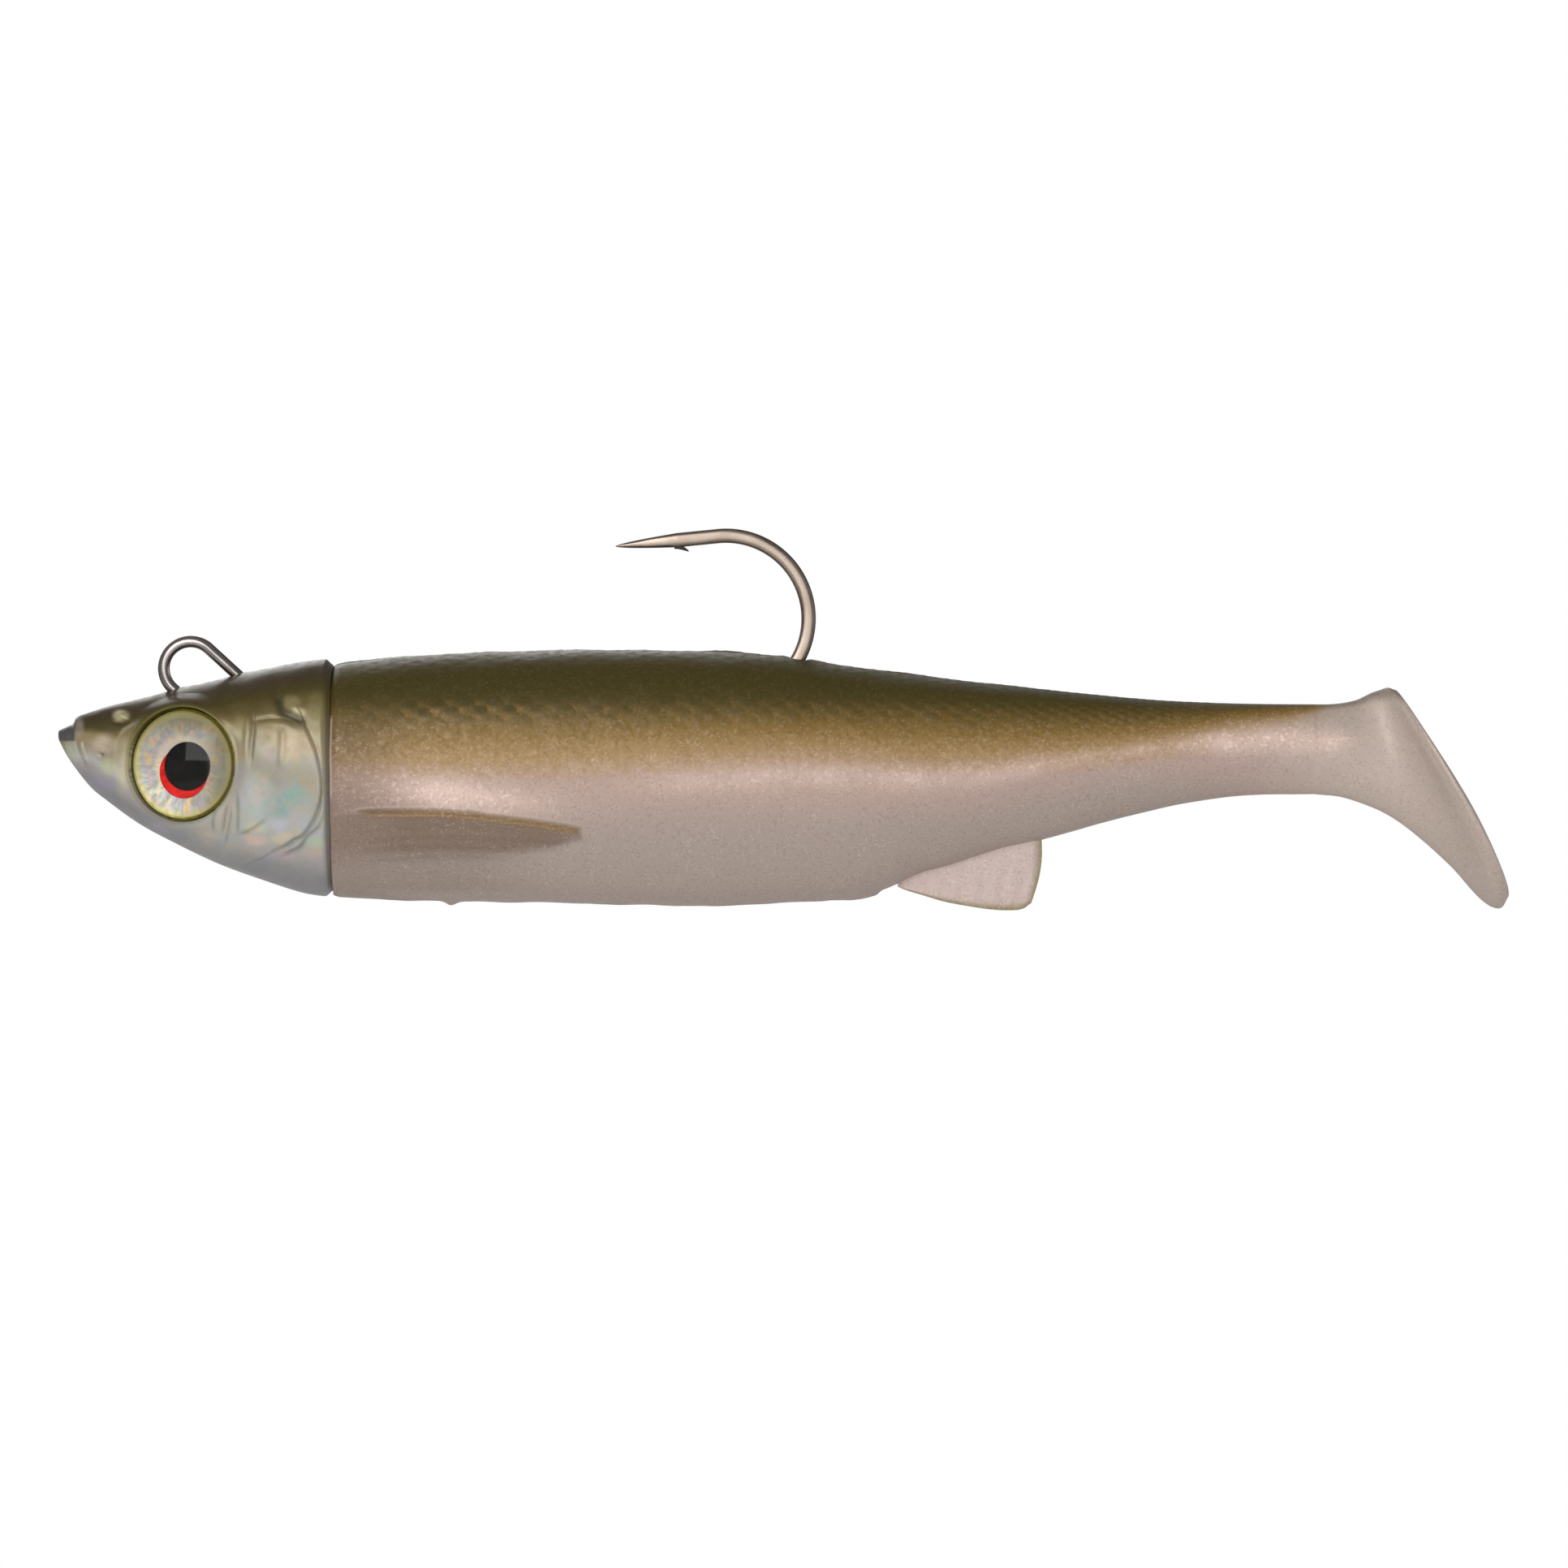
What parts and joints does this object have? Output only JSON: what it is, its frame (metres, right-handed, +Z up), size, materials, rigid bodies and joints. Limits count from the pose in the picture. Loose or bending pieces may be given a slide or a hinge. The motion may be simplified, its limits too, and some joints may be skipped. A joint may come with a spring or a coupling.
{
  "type": "paddle tail swimbait",
  "caption": "Soft paddle-tail fishing lure on a painted jig head, with a cast-in wire line tie, an upright single hook and stick-on domed eyes.",
  "frame": {"origin": "centre of the line tie's loop, the point that the lure hangs from", "axes": "+X back from the nose to the tail, +Z up through the lure's back, +Y to the lure's right side"},
  "size_m": [0.13, 0.0146, 0.0342],
  "materials": {
    "head_paint": "pearl and olive enamel under clear coat",
    "tie_wire": "drawn stainless wire",
    "hook_wire": "bronzed nickel plate",
    "eye_foil": "holographic silver foil",
    "eye_red": "printed red",
    "eye_black": "printed black",
    "eye_lens": "clear domed resin",
    "soft_body": "soft pearl plastisol with an olive back"
  },
  "bodies": {
    "head": {"head_casting": "head_paint", "line_tie": "tie_wire", "hook": "hook_wire", "left_eye_foil": "eye_foil", "right_eye_foil": "eye_foil", "left_eye_red_print": "eye_red", "right_eye_red_print": "eye_red", "left_eye_pupil": "eye_black", "right_eye_pupil": "eye_black", "left_eye_lens": "eye_lens", "right_eye_lens": "eye_lens", "torso": "soft_body"},
    "rear_body": {"rear_body": "soft_body"},
    "tail_stem": {"tail_stem": "soft_body"},
    "paddle": {"paddle": "soft_body"},
    "anal_fin": {"anal_fin": "soft_body"}
  },
  "joints": [
    {"name": "body_flex", "type": "hinge", "parent": "head", "child": "rear_body", "pos_m": [0.06315, 0, -0.01032], "axis": [0, 0, 1], "range_deg": [-15, 15], "stiffness_Nm_per_rad": 0.012},
    {"name": "stem_flex", "type": "hinge", "parent": "rear_body", "child": "tail_stem", "pos_m": [0.08315, 0, -0.00802], "axis": [0, 0, 1], "range_deg": [-20, 20], "stiffness_Nm_per_rad": 0.002},
    {"name": "paddle_kick", "type": "hinge", "parent": "tail_stem", "child": "paddle", "pos_m": [0.10065, 0, -0.00722], "axis": [0, 0, 1], "range_deg": [-35, 35], "stiffness_Nm_per_rad": 0.0007},
    {"name": "anal_fin_fold", "type": "hinge", "parent": "rear_body", "child": "anal_fin", "pos_m": [0.0699, 0, -0.01742], "axis": [0.9433, 0, 0.332], "range_deg": [-25, 25], "stiffness_Nm_per_rad": 0.0001}
  ]
}
